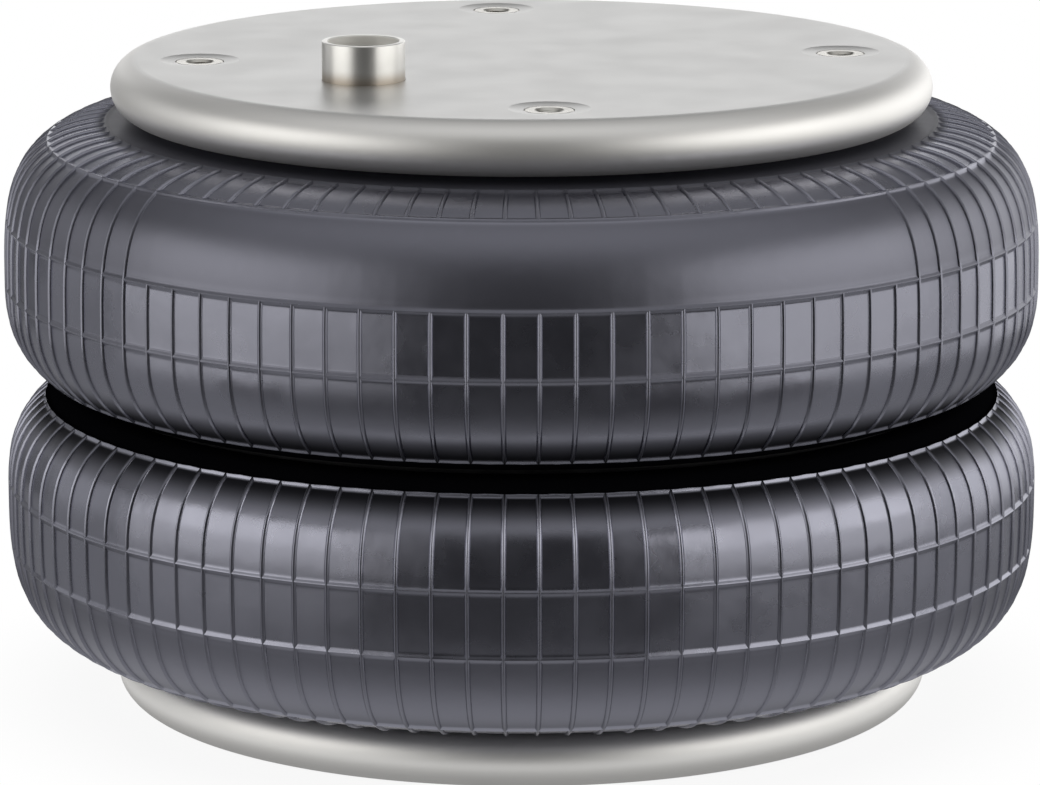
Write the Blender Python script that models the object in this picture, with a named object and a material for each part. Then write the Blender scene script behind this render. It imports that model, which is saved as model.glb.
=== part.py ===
"""Air bellows actuator: a rubber bellows with two convolutions, crimped between two pressed steel
bead plates. Metres, +Z up, origin at the middle of the bottom plate's mounting face.

Both ends are the same, so every section is drawn once, as (radius, depth), where depth is the
distance inwards from an end's mounting face. The lower end uses depth as its height, and the
upper end hangs the same section from HEIGHT.
"""

import math

import bmesh
import bpy

# Overall sizes
HEIGHT = 0.226  # between the two mounting faces, standing free
BELLOWS_DIAMETER = 0.361
FIT = 0.0003  # clearance between pieces that touch

# Bead plate: pressed sheet, its edge curled round the bead
PLATE_DIAMETER = 0.287
PLATE_THICKNESS = 0.003
CURL_RADIUS = 0.0095  # outside of the curl
LIP_WRAP = math.radians(220)  # how far the curl turns, from the flat to its lip

# Bellows wall
WALL = 0.006
NECK_WALL = 0.0046  # squeezed thinner where it leaves the curl
LIP_CLEARANCE = 0.0004
SHOULDER_DROP = 0.0023  # from the curl's underside down to the shoulder of the convolution
SHOULDER_RUNOUT = 0.0125  # how far inside the neck the shoulder's ellipse would end
SHOULDER_POWER = 0.579  # below 1 is squarer than an ellipse
EQUATOR_OFFSET = 0.0367  # from the middle of the bellows to each convolution's widest circle
WAIST_INSET = 0.074  # reach inwards of the ellipse that runs down to the waist
WAIST_CROSSING = 0.0063  # how far that ellipse would run past the middle
WAIST_POWER = 0.729

# Girdle hoop in the waist
HOOP_WIRE_RADIUS = 0.0045
GROOVE_HALF_WIDTH = 0.0015
GROOVE_LAND = 0.0071  # from the groove's mouth to the hoop's pocket
WAIST_SPLIT = 0.0003  # between the two convolutions, inside the hoop

# Bead core: the steel ring inside the bead
CORE_RADIUS = 0.003
TURNUP_GAP = 0.0004  # slit left by the wall where it is turned up round the core
TURNUP_STATION = 4  # the slit lies at this corner of the curl's section, counted from the lip

# Blind nuts, four to a plate
NUT_COUNT = 4
NUT_TO_NECK = 0.0009
NUT_SHOULDER_RADIUS = 0.0093
NUT_SHOULDER_HEIGHT = 0.004
NUT_BODY_RADIUS = 0.0084
NUT_LENGTH = 0.020
NUT_BOTTOM = 0.003
TAPPED_RADIUS = 0.0043
TAPPED_CHAMFER = 0.0009
DIMPLE_RADIUS = 0.0125
DIMPLE_DEPTH = 0.0011

# Air inlet: a turned boss through the top plate
INLET_OFFSET = 0.0745
INLET_ANGLE = math.radians(219.1)
INLET_RADIUS = 0.0142
INLET_WALL = 0.0021
INLET_HEIGHT = 0.0133  # above the plate
INLET_TAIL = 0.0065  # below the plate
INLET_COLLAR_WIDTH = 0.0035
INLET_COLLAR_HEIGHT = 0.003
INLET_CHAMFER = 0.0004

# Facets
RING_SEGMENTS = 36
NUT_SEGMENTS = 16
INLET_SEGMENTS = 24
CURL_STEPS = 7
CORE_SIDES = 6
POCKET_STEPS = 3

# Places that follow from the sizes
MIDDLE = HEIGHT / 2
BEAD_R = PLATE_DIAMETER / 2 - CURL_RADIUS
BEAD_DEPTH = CURL_RADIUS
BEAD_RADIUS = CURL_RADIUS - PLATE_THICKNESS - FIT
LIP_ANGLE = math.pi / 2 - LIP_WRAP
TURNUP_ANGLE = LIP_ANGLE + LIP_WRAP * TURNUP_STATION / CURL_STEPS
EQUATOR_R = BELLOWS_DIAMETER / 2
EQUATOR_DEPTH = MIDDLE - EQUATOR_OFFSET
SHOULDER_DEPTH = 2 * CURL_RADIUS + SHOULDER_DROP
POCKET_RADIUS = HOOP_WIRE_RADIUS + FIT


def on_circle(centre, radius, angle):
    """The (radius, depth) point at an angle that opens from the outward side towards the face."""
    return (
        centre[0] + radius * math.cos(angle),
        centre[1] - radius * math.sin(angle),
    )


def arc(centre, radius, start, end, steps):
    """Points along an arc, both ends among them."""
    turn = (end - start) / steps
    return [on_circle(centre, radius, start + turn * k) for k in range(steps + 1)]


def squared(angle, power):
    """Cosine and sine, squared off as a superellipse."""
    return math.cos(angle) ** power, math.sin(angle) ** power


def neck():
    """Centre and inner radius of the bend that carries the wall round the lip, on either side."""
    under_plate = BEAD_DEPTH - BEAD_RADIUS + NECK_WALL
    radius = (SHOULDER_DEPTH - under_plate) / 2
    depth = (SHOULDER_DEPTH + under_plate) / 2
    lip = on_circle((BEAD_R, BEAD_DEPTH), CURL_RADIUS, LIP_ANGLE)
    reach = math.sqrt((radius - LIP_CLEARANCE) ** 2 - (lip[1] - depth) ** 2)
    return (lip[0] + reach, depth), radius


NECK_CENTRE, NECK_RADIUS = neck()
NUT_CIRCLE = (
    NECK_CENTRE[0] - NECK_RADIUS - NECK_WALL - NUT_TO_NECK - NUT_SHOULDER_RADIUS
)


def shoulder_point(angle, inset=0.0):
    """A point between the equator (0) and the neck, moved inwards by inset."""
    a = EQUATOR_R - NECK_CENTRE[0] + SHOULDER_RUNOUT
    b = EQUATOR_DEPTH - SHOULDER_DEPTH
    c, s = squared(angle, SHOULDER_POWER)
    return (EQUATOR_R - a + (a - inset) * c, EQUATOR_DEPTH - (b - inset) * s)


def waist_point(angle, inset=0.0):
    """A point between the equator (0) and the waist groove, moved inwards by inset."""
    b = EQUATOR_OFFSET + WAIST_CROSSING
    c, s = squared(angle, WAIST_POWER)
    return (
        EQUATOR_R - WAIST_INSET + (WAIST_INSET - inset) * c,
        EQUATOR_DEPTH + (b - inset) * s,
    )


def shoulder_end():
    """The angle at which the shoulder reaches the neck's radius."""
    a = EQUATOR_R - NECK_CENTRE[0] + SHOULDER_RUNOUT
    return math.acos((SHOULDER_RUNOUT / a) ** (1 / SHOULDER_POWER))


def waist_end():
    """The angle at which the underside meets the mouth of the groove."""
    b = EQUATOR_OFFSET + WAIST_CROSSING
    share = (EQUATOR_OFFSET - GROOVE_HALF_WIDTH) / b
    return math.asin(share ** (1 / WAIST_POWER))


GROOVE_MOUTH_R = waist_point(waist_end())[0]
POCKET_MOUTH = math.asin(GROOVE_HALF_WIDTH / POCKET_RADIUS)
HOOP_R = (
    GROOVE_MOUTH_R
    - GROOVE_LAND
    - math.sqrt(POCKET_RADIUS**2 - GROOVE_HALF_WIDTH**2)
)


def evenly(start, end, steps):
    """Values from start to end, both among them."""
    return [start + (end - start) * k / steps for k in range(steps + 1)]


def outer_skin():
    """From the hoop's pocket, over the convolution, to the inside of the curl."""
    hoop = (HOOP_R, MIDDLE)
    first = math.pi - math.asin(WAIST_SPLIT / 2 / POCKET_RADIUS)
    points = arc(hoop, POCKET_RADIUS, first, POCKET_MOUTH, POCKET_STEPS)
    points += [waist_point(a) for a in evenly(waist_end(), 0, 6)]
    points += [shoulder_point(a) for a in evenly(0, shoulder_end(), 6)[1:-1]]
    # round the lip, as far as the bead
    gap = NECK_CENTRE[1] - BEAD_DEPTH
    side = NECK_CENTRE[0] - BEAD_R
    apart = math.hypot(gap, side)
    along = (NECK_RADIUS**2 - BEAD_RADIUS**2 + apart**2) / (2 * apart)
    tilt = math.atan2(side, gap)
    meet = math.pi / 2 + tilt + math.acos(along / NECK_RADIUS)
    points += arc(NECK_CENTRE, NECK_RADIUS, math.radians(270), meet, 4)
    return points


def bead():
    """Round the bead against the curl, with the core's pocket opened by the turn-up's slit."""
    centre = (BEAD_R, BEAD_DEPTH)
    stations = evenly(LIP_ANGLE, math.pi / 2, CURL_STEPS)
    pocket = CORE_RADIUS + FIT
    mouth = math.asin(TURNUP_GAP / 2 / BEAD_RADIUS)
    throat = math.asin(TURNUP_GAP / 2 / pocket)
    before = [a for a in stations if a < TURNUP_ANGLE - 3 * mouth]
    after = [a for a in stations if a > TURNUP_ANGLE + 3 * mouth]
    points = [on_circle(centre, BEAD_RADIUS, a) for a in before]
    points.append(on_circle(centre, BEAD_RADIUS, TURNUP_ANGLE - mouth))
    start = TURNUP_ANGLE - throat
    end = TURNUP_ANGLE + throat - 2 * math.pi
    points += arc(centre, pocket, start, end, CORE_SIDES)
    points.append(on_circle(centre, BEAD_RADIUS, TURNUP_ANGLE + mouth))
    points += [on_circle(centre, BEAD_RADIUS, a) for a in after]
    return points


def inner_skin():
    """Back along the chamber side, from the bead to the waist."""
    radius = NECK_RADIUS + NECK_WALL
    points = arc(NECK_CENTRE, radius, math.radians(120), math.radians(270), 4)
    end = shoulder_end()
    for a in evenly(end, 0, 4)[1:]:
        points.append(shoulder_point(a, NECK_WALL + (WALL - NECK_WALL) * (1 - a / end)))
    ceiling = MIDDLE - POCKET_RADIUS - WALL
    for a in evenly(0, waist_end(), 5)[1:]:
        point = waist_point(a, WALL)
        if point[1] < ceiling:
            points.append(point)
    hoop = (HOOP_R, MIDDLE)
    last = math.pi - math.asin(WAIST_SPLIT / 2 / (POCKET_RADIUS + WALL))
    points += arc(hoop, POCKET_RADIUS + WALL, math.pi / 2, last, 2)
    return points


def convolution_section():
    return outer_skin() + bead() + inner_skin()


def plate_section():
    """Flat disc, curl and lip, closed on the axis."""
    centre = (BEAD_R, BEAD_DEPTH)
    curl = arc(centre, CURL_RADIUS, math.pi / 2, LIP_ANGLE, CURL_STEPS)
    inside = CURL_RADIUS - PLATE_THICKNESS
    back = arc(centre, inside, LIP_ANGLE, math.pi / 2, CURL_STEPS)
    return [(0, 0)] + curl + back + [(0, PLATE_THICKNESS)]


def hoop_section():
    """The hoop's wire, its corners lined up with those of the pocket round it."""
    upper = evenly(0, math.pi - POCKET_MOUTH, POCKET_STEPS)
    around = [0] + [POCKET_MOUTH + a for a in upper]
    around += [-a for a in around[-2:0:-1]]
    return [on_circle((HOOP_R, 0), HOOP_WIRE_RADIUS, a) for a in around]


def nut_section():
    """Blind nut: collar in the plate's hole, shoulder under it, closed far end."""
    face = DIMPLE_DEPTH
    under = PLATE_THICKNESS + FIT
    shoulder_end_depth = under + NUT_SHOULDER_HEIGHT
    tapped_end = NUT_LENGTH - NUT_BOTTOM
    return [
        (0, tapped_end),
        (TAPPED_RADIUS, tapped_end),
        (TAPPED_RADIUS, face + TAPPED_CHAMFER),
        (TAPPED_RADIUS + TAPPED_CHAMFER, face),
        (NUT_BODY_RADIUS, face),
        (NUT_BODY_RADIUS, under),
        (NUT_SHOULDER_RADIUS, under),
        (NUT_SHOULDER_RADIUS, shoulder_end_depth),
        (NUT_BODY_RADIUS, shoulder_end_depth),
        (NUT_BODY_RADIUS, NUT_LENGTH),
        (0, NUT_LENGTH),
    ]


def inlet_section():
    """Boss with a collar that seats under the plate."""
    under = PLATE_THICKNESS + FIT
    collar_end = under + INLET_COLLAR_HEIGHT
    tail_end = PLATE_THICKNESS + INLET_TAIL
    bore = INLET_RADIUS - INLET_WALL
    collar = INLET_RADIUS + INLET_COLLAR_WIDTH
    return [
        (bore, tail_end),
        (bore, INLET_CHAMFER - INLET_HEIGHT),
        (bore + INLET_CHAMFER, -INLET_HEIGHT),
        (INLET_RADIUS - INLET_CHAMFER, -INLET_HEIGHT),
        (INLET_RADIUS, INLET_CHAMFER - INLET_HEIGHT),
        (INLET_RADIUS, under),
        (collar, under),
        (collar, collar_end),
        (INLET_RADIUS, collar_end),
        (INLET_RADIUS, tail_end),
    ]


def nut_hole_section():
    """Cutter for a nut's hole and the dimple round it."""
    hole = NUT_BODY_RADIUS + FIT
    past = PLATE_THICKNESS
    return [
        (0, -past),
        (DIMPLE_RADIUS, -past),
        (DIMPLE_RADIUS, 0),
        (hole, DIMPLE_DEPTH),
        (hole, PLATE_THICKNESS + past),
        (0, PLATE_THICKNESS + past),
    ]


def inlet_hole_section():
    hole = INLET_RADIUS + FIT
    past = PLATE_THICKNESS
    return [
        (0, -past),
        (hole, -past),
        (hole, PLATE_THICKNESS + past),
        (0, PLATE_THICKNESS + past),
    ]


def finish(name, worked, material, location, parent):
    """Turns a bmesh into a named, smooth-shaded object under its group's empty."""
    bmesh.ops.remove_doubles(worked, verts=worked.verts, dist=1e-7)
    bmesh.ops.recalc_face_normals(worked, faces=worked.faces)
    mesh = bpy.data.meshes.new(name)
    worked.to_mesh(mesh)
    worked.free()
    mesh.shade_smooth()
    mesh.set_sharp_from_angle(angle=math.radians(35))
    if material is not None:
        mesh.materials.append(material)
    piece = bpy.data.objects.new(name, mesh)
    bpy.context.scene.collection.objects.link(piece)
    piece.parent = parent
    piece.location = location
    return piece


def spin_into(worked, section, steps, offset=(0, 0), up=1):
    """Turns a closed section about a vertical line through offset."""
    ring = [worked.verts.new((offset[0] + r, offset[1], up * d)) for r, d in section]
    edges = [worked.edges.new((ring[k - 1], ring[k])) for k in range(len(ring))]
    axis_edges = [e for e in edges if all(abs(v.co.x - offset[0]) < 1e-9 for v in e.verts)]
    turned = [e for e in edges if e not in axis_edges]
    bmesh.ops.delete(worked, geom=axis_edges, context="EDGES_FACES")
    bmesh.ops.spin(
        worked,
        geom=turned,
        cent=(offset[0], offset[1], 0),
        axis=(0, 0, 1),
        angle=2 * math.pi,
        steps=steps,
        use_merge=True,
    )


def turn(name, section, steps, material, location, parent, up):
    worked = bmesh.new()
    spin_into(worked, section, steps, up=up)
    return finish(name, worked, material, location, parent)


def paint(name, colour, metallic, roughness):
    material = bpy.data.materials.new(name)
    material.use_nodes = True
    shader = material.node_tree.nodes["Principled BSDF"]
    shader.inputs["Base Color"].default_value = (*colour, 1)
    shader.inputs["Metallic"].default_value = metallic
    shader.inputs["Roughness"].default_value = roughness
    return material


def group(name, height):
    empty = bpy.data.objects.new(name, None)
    empty.location = (0, 0, height)
    bpy.context.scene.collection.objects.link(empty)
    return empty


def on_bolt_circle(k):
    angle = 2 * math.pi * k / NUT_COUNT
    return (NUT_CIRCLE * math.cos(angle), NUT_CIRCLE * math.sin(angle))


def inlet_place():
    return (INLET_OFFSET * math.cos(INLET_ANGLE), INLET_OFFSET * math.sin(INLET_ANGLE))


def bead_plate(name, material, parent, up, with_inlet):
    """A plate with its nut holes cut, and the inlet's on the top one."""
    plate = turn(name, plate_section(), RING_SEGMENTS, material, (0, 0, 0), parent, up)
    worked = bmesh.new()
    for k in range(NUT_COUNT):
        spin_into(worked, nut_hole_section(), NUT_SEGMENTS, on_bolt_circle(k), up)
    if with_inlet:
        spin_into(worked, inlet_hole_section(), INLET_SEGMENTS, inlet_place(), up)
    cutter = finish(name + "_cutter", worked, None, (0, 0, 0), parent)
    cutter.hide_render = True
    cutter.display_type = "WIRE"
    cut = plate.modifiers.new("holes", "BOOLEAN")
    cut.operation = "DIFFERENCE"
    cut.solver = "EXACT"
    cut.object = cutter
    return plate


def core_ring(name, material, parent, up):
    """The bead core, its sides lined up with its pocket's."""
    centre = (BEAD_R, BEAD_DEPTH)
    around = [TURNUP_ANGLE + 2 * math.pi * k / CORE_SIDES for k in range(CORE_SIDES)]
    section = [on_circle(centre, CORE_RADIUS, a) for a in around]
    return turn(name, section, RING_SEGMENTS, material, (0, 0, 0), parent, up)


def end_assembly(side, parent, up, materials, with_inlet):
    """One end: plate, blind nuts, bead core and the convolution that the plate grips."""
    bead_plate(side + "_bead_plate", materials["plate"], parent, up, with_inlet)
    for k in range(NUT_COUNT):
        x, y = on_bolt_circle(k)
        name = f"{side}_blind_nut_{k + 1}"
        nut = turn(
            name, nut_section(), NUT_SEGMENTS, materials["nut"], (x, y, 0), parent, up
        )
        nut["thread"] = "M10"
    core_ring(side + "_bead_core", materials["wire"], parent, up)
    turn(
        side + "_convolution",
        convolution_section(),
        RING_SEGMENTS,
        materials["rubber"],
        (0, 0, 0),
        parent,
        up,
    )


def main():
    for old in list(bpy.data.objects):
        bpy.data.objects.remove(old, do_unlink=True)
    materials = {
        "plate": paint("satin_plated_steel", (0.60, 0.60, 0.59), 0.9, 0.38),
        "nut": paint("zinc_plated_nut", (0.55, 0.54, 0.50), 0.9, 0.35),
        "inlet": paint("turned_steel", (0.68, 0.67, 0.64), 0.95, 0.22),
        "wire": paint("bead_wire", (0.45, 0.43, 0.40), 0.9, 0.45),
        "hoop": paint("hoop_steel", (0.30, 0.30, 0.31), 0.8, 0.5),
        "rubber": paint("blue_grey_rubber", (0.045, 0.047, 0.058), 0.0, 0.42),
    }
    base = group("base_group", 0)
    waist = group("waist_group", MIDDLE)
    top = group("top_group", HEIGHT)
    end_assembly("lower", base, 1, materials, False)
    end_assembly("upper", top, -1, materials, True)
    x, y = inlet_place()
    turn(
        "air_inlet",
        inlet_section(),
        INLET_SEGMENTS,
        materials["inlet"],
        (x, y, 0),
        top,
        -1,
    )
    turn(
        "girdle_hoop",
        hoop_section(),
        RING_SEGMENTS,
        materials["hoop"],
        (0, 0, 0),
        waist,
        1,
    )


main()
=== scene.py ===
"""Looks of the air bellows actuator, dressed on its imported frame. Metres, +Z up."""

import math

import bmesh
import bpy
import numpy as np
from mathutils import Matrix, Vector


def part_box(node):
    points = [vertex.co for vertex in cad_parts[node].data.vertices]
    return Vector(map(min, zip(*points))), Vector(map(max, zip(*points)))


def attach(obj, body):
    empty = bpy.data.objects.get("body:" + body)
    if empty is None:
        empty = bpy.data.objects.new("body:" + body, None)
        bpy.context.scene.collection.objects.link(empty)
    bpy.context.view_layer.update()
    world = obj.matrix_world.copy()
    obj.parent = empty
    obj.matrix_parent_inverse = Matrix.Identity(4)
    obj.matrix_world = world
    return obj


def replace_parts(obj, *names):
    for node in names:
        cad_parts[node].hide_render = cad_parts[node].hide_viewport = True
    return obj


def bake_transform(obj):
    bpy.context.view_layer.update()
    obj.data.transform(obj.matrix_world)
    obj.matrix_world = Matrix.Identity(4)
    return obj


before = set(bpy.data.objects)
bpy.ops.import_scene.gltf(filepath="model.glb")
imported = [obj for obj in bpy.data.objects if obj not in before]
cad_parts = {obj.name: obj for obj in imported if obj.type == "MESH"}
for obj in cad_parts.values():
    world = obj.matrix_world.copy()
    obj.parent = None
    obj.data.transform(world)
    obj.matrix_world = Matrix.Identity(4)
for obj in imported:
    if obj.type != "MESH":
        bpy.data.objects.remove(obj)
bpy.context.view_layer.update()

# Sizes that the frame gives
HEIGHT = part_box("upper_bead_plate")[1][2]
BELLOWS_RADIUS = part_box("upper_convolution")[1][0]
NUT_CIRCLE = (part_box("upper_blind_nut_1")[0][0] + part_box("upper_blind_nut_1")[1][0]) / 2
INLET_X, INLET_Y = (
    (low + high) / 2 for low, high in list(zip(*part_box("air_inlet")))[:2]
)
INLET_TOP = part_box("air_inlet")[1][2]
INLET_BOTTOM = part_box("air_inlet")[0][2]
MIDDLE = HEIGHT / 2

# Bead plate
PLATE_RADIUS = 0.1435
PLATE_THICKNESS = 0.003
CURL_RADIUS = 0.0095
LIP_WRAP = math.radians(220)
FLAT_INSET = 0.0006  # the flat's last ring of corners, inside the start of the curl
FIT = 0.0003
HOLE_FIT = 0.00012  # round the nuts and the boss, where they are pressed in

# Bellows wall
WALL = 0.006
NECK_WALL = 0.0046
LIP_CLEARANCE = 0.0004
SHOULDER_DROP = 0.0023
SHOULDER_RUNOUT = 0.0125
SHOULDER_POWER = 0.579
EQUATOR_OFFSET = 0.0367
WAIST_INSET = 0.074
WAIST_CROSSING = 0.0063
WAIST_POWER = 0.729

# Waist, hoop and bead core
HOOP_WIRE_RADIUS = 0.0045
GROOVE_HALF_WIDTH = 0.0015
GROOVE_LAND = 0.0071
WAIST_SPLIT = 0.0003
CORE_RADIUS = 0.003
TURNUP_GAP = 0.0004

# Raised lines left by the mould, as heights from the middle of the bellows
RING_LINES = (0.0055, 0.035, 0.0575, 0.085)
COLLAR_LINE_RADIUS = 0.1456  # the last line, on the shoulder beside the plate
LINE_HEIGHT = 0.0007
LINE_WIDTH = 0.0008
RIB_COUNT = 96
RIB_HALF_WIDTH = 0.00105
RIB_HEIGHT = 0.00112
RIB_ROUND = 0.00022
RIB_SINK = 0.00012  # how far a rib's centre lies under the skin
RIB_SEGMENT = 0.0035  # length of one straight stretch of a rib
CELL_SIDE = 0.46  # where the flat cell between two ribs ends, as a share of their step
BARE_COUNT = 24  # ribs that the bare band on the upper convolution's front interrupts

# Blind nuts
NUT_COUNT = 4
NUT_BODY_RADIUS = 0.0084
NUT_SHOULDER_RADIUS = 0.0093
NUT_SHOULDER_HEIGHT = 0.004
NUT_LENGTH = 0.020
NUT_BOTTOM = 0.003
TAPPED_RADIUS = 0.0043
TAPPED_CHAMFER = 0.0009
NUT_EDGE = 0.0004  # bevel on the face's edge
DIMPLE_RADIUS = 0.0130
DIMPLE_DEPTH = 0.0006
DIMPLE_STEP = 0.0002  # depth of its outer edge
DIMPLE_FOOT = 0.0012  # width of the almost flat ring beside the nut
DIMPLE_FALL = 0.0001  # how far that ring falls towards the nut
DIMPLE_MARGIN = 0.0008  # how far its cutter goes past it, above the plate
NUT_PITCH = 0.0015
NUT_THREAD = 0.0006

# Air inlet
INLET_RADIUS = 0.0142
INLET_BORE_RADIUS = 0.0121
INLET_COLLAR_RADIUS = 0.0177
INLET_COLLAR_HEIGHT = 0.003
INLET_CHAMFER = 0.0004
INLET_COUNTERBORE = 0.0045  # depth of the smooth entry above the thread
INLET_PITCH = 0.0018
INLET_THREAD = 0.0006
THREAD_SINK = 0.35  # how deep a thread's ridge starts in the wall, as a share of its size

# Facets round the axis of each turned piece
PLATE_FACETS = 256
HOOP_FACETS = 256
HOOP_WIRE_FACETS = 24
NUT_FACETS = 64
INLET_FACETS = 128
INLET_HOLE_FACETS = 96

# The camera's place, fitted to the outline in the photograph
VIEW_AZIMUTH = math.radians(-4.7)
VIEW_ELEVATION = math.radians(12.1)
VIEW_DISTANCE = 2.053
VIEW_CENTRE = 0.110
VIEW_AIM = 0.1056
VIEW_LENS = 201.0
VIEW_SHIFT = -0.0014
FRONT = -math.pi / 2 + VIEW_AZIMUTH
RIB_STEP = 2 * math.pi / RIB_COUNT

BEAD_CIRCLE = PLATE_RADIUS - CURL_RADIUS
BEAD_RADIUS = CURL_RADIUS - PLATE_THICKNESS - FIT
LIP_ANGLE = math.pi / 2 - LIP_WRAP
SHOULDER_DEPTH = 2 * CURL_RADIUS + SHOULDER_DROP
EQUATOR_DEPTH = MIDDLE - EQUATOR_OFFSET
POCKET_RADIUS = HOOP_WIRE_RADIUS + FIT
POCKET_MOUTH = math.asin(GROOVE_HALF_WIDTH / POCKET_RADIUS)


# Sections, as (radius, depth from the end's mounting face)


def on_circle(centre, radius, angle):
    return (
        centre[0] + radius * math.cos(angle),
        centre[1] - radius * math.sin(angle),
    )


def arc(centre, radius, start, end, steps):
    turn = (end - start) / steps
    return [on_circle(centre, radius, start + turn * k) for k in range(steps + 1)]


def evenly(start, end, steps):
    return [start + (end - start) * k / steps for k in range(steps + 1)]


def neck():
    """Centre and radius of the bend that carries the wall round the plate's lip."""
    under_plate = CURL_RADIUS - BEAD_RADIUS + NECK_WALL
    radius = (SHOULDER_DEPTH - under_plate) / 2
    depth = (SHOULDER_DEPTH + under_plate) / 2
    lip = on_circle((BEAD_CIRCLE, CURL_RADIUS), CURL_RADIUS, LIP_ANGLE)
    reach = math.sqrt((radius - LIP_CLEARANCE) ** 2 - (lip[1] - depth) ** 2)
    return (lip[0] + reach, depth), radius


NECK_CENTRE, NECK_RADIUS = neck()
SHOULDER_REACH = BELLOWS_RADIUS - NECK_CENTRE[0] + SHOULDER_RUNOUT


def shoulder_point(angle, inset=0.0):
    c = math.cos(angle) ** SHOULDER_POWER
    s = math.sin(angle) ** SHOULDER_POWER
    a, b = SHOULDER_REACH, EQUATOR_DEPTH - SHOULDER_DEPTH
    return (BELLOWS_RADIUS - a + (a - inset) * c, EQUATOR_DEPTH - (b - inset) * s)


def waist_point(angle, inset=0.0):
    c = math.cos(angle) ** WAIST_POWER
    s = math.sin(angle) ** WAIST_POWER
    a, b = WAIST_INSET, EQUATOR_OFFSET + WAIST_CROSSING
    return (BELLOWS_RADIUS - a + (a - inset) * c, EQUATOR_DEPTH + (b - inset) * s)


SHOULDER_END = math.acos((SHOULDER_RUNOUT / SHOULDER_REACH) ** (1 / SHOULDER_POWER))
WAIST_END = math.asin(
    ((EQUATOR_OFFSET - GROOVE_HALF_WIDTH) / (EQUATOR_OFFSET + WAIST_CROSSING))
    ** (1 / WAIST_POWER)
)
HOOP_CIRCLE = (
    waist_point(WAIST_END)[0]
    - GROOVE_LAND
    - math.sqrt(POCKET_RADIUS**2 - GROOVE_HALF_WIDTH**2)
)


def skin(steps=400):
    """The outer face from the groove's mouth to the neck, as arrays of radius and depth."""
    # a power of the angle's share spreads the points over the squared-off corners
    waist = [waist_point(WAIST_END * (1 - k / steps) ** 1.3) for k in range(steps)]
    shoulder = [shoulder_point(SHOULDER_END * (k / steps) ** 1.6) for k in range(steps + 1)]
    return np.array(waist + shoulder)


def along(points):
    """Arc length at each point."""
    gaps = np.hypot(*np.diff(points, axis=0).T)
    return np.concatenate([[0], np.cumsum(gaps)])


def line_places(points, lengths):
    """Arc lengths of the raised lines that run round the bellows."""
    heights = MIDDLE - points[:, 1]
    places = [np.interp(h, heights, lengths) for h in RING_LINES]
    outer = points[:, 0] < COLLAR_LINE_RADIUS
    beyond = np.nonzero(outer & (heights > EQUATOR_OFFSET))[0][0]
    return places + [lengths[beyond]]


def lined_skin(stretches=80):
    """The outer face with its raised lines, fine beside a line, and its arc lengths."""
    points = skin()
    lengths = along(points)
    places = line_places(points, lengths)
    stops = set(np.linspace(0, lengths[-1], stretches))
    for place in places:
        stops |= {place + LINE_WIDTH * k / 2 for k in range(-5, 6)}
    stops = np.array(sorted(s for s in stops if 0 <= s <= lengths[-1]))
    keep = np.concatenate([[True], np.diff(stops) > LINE_WIDTH / 4])
    stops = stops[keep]
    r = np.interp(stops, lengths, points[:, 0])
    d = np.interp(stops, lengths, points[:, 1])
    dr, dd = np.gradient(r, stops), np.gradient(d, stops)
    size = np.hypot(dr, dd)
    lift = sum(np.exp(-(((stops - p) / LINE_WIDTH) ** 2)) for p in places) * LINE_HEIGHT
    # the skin runs from waist to plate, so its outside lies to the right of its way
    r, d = r - dd / size * lift, d + dr / size * lift
    return list(zip(r.tolist(), d.tolist())), stops.tolist()


def bead():
    """The bead against the curl, opened by the slit of the turned-up wall."""
    centre = (BEAD_CIRCLE, CURL_RADIUS)
    turnup = LIP_ANGLE + LIP_WRAP * 4 / 7
    pocket = CORE_RADIUS + FIT
    mouth = math.asin(TURNUP_GAP / 2 / BEAD_RADIUS)
    throat = math.asin(TURNUP_GAP / 2 / pocket)
    points = arc(centre, BEAD_RADIUS, LIP_ANGLE, turnup - mouth, 10)
    points += arc(centre, pocket, turnup - throat, turnup + throat - 2 * math.pi, 18)
    points += arc(centre, BEAD_RADIUS, turnup + mouth, math.pi / 2, 8)
    return points


def convolution_section():
    """The wall's section, and each point's arc length on the skin, or -1 off it."""
    hoop = (HOOP_CIRCLE, MIDDLE)
    first = math.pi - math.asin(WAIST_SPLIT / 2 / POCKET_RADIUS)
    points = arc(hoop, POCKET_RADIUS, first, POCKET_MOUTH, 10)
    outer, stops = lined_skin()
    lengths = [-1] * len(points) + stops[:-1]
    points += outer[:-1]
    gap, side = NECK_CENTRE[1] - CURL_RADIUS, NECK_CENTRE[0] - BEAD_CIRCLE
    apart = math.hypot(gap, side)
    share = (NECK_RADIUS**2 - BEAD_RADIUS**2 + apart**2) / (2 * apart) / NECK_RADIUS
    meet = math.pi / 2 + math.atan2(side, gap) + math.acos(share)
    points += arc(NECK_CENTRE, NECK_RADIUS, math.radians(270), meet, 9)
    points += bead()
    inner = NECK_RADIUS + NECK_WALL
    points += arc(NECK_CENTRE, inner, math.radians(110), math.radians(270), 10)
    for a in evenly(SHOULDER_END, 0, 12)[1:]:
        inset = NECK_WALL + (WALL - NECK_WALL) * (1 - a / SHOULDER_END)
        points.append(shoulder_point(a, inset))
    ceiling = MIDDLE - POCKET_RADIUS - WALL
    lower = [waist_point(a, WALL) for a in evenly(0, WAIST_END, 12)[1:]]
    points += [p for p in lower if p[1] < ceiling]
    last = math.pi - math.asin(WAIST_SPLIT / 2 / (POCKET_RADIUS + WALL))
    points += arc(hoop, POCKET_RADIUS + WALL, math.pi / 2, last, 6)
    lengths += [-1] * (len(points) - len(lengths))
    return points, np.array(lengths)


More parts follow.
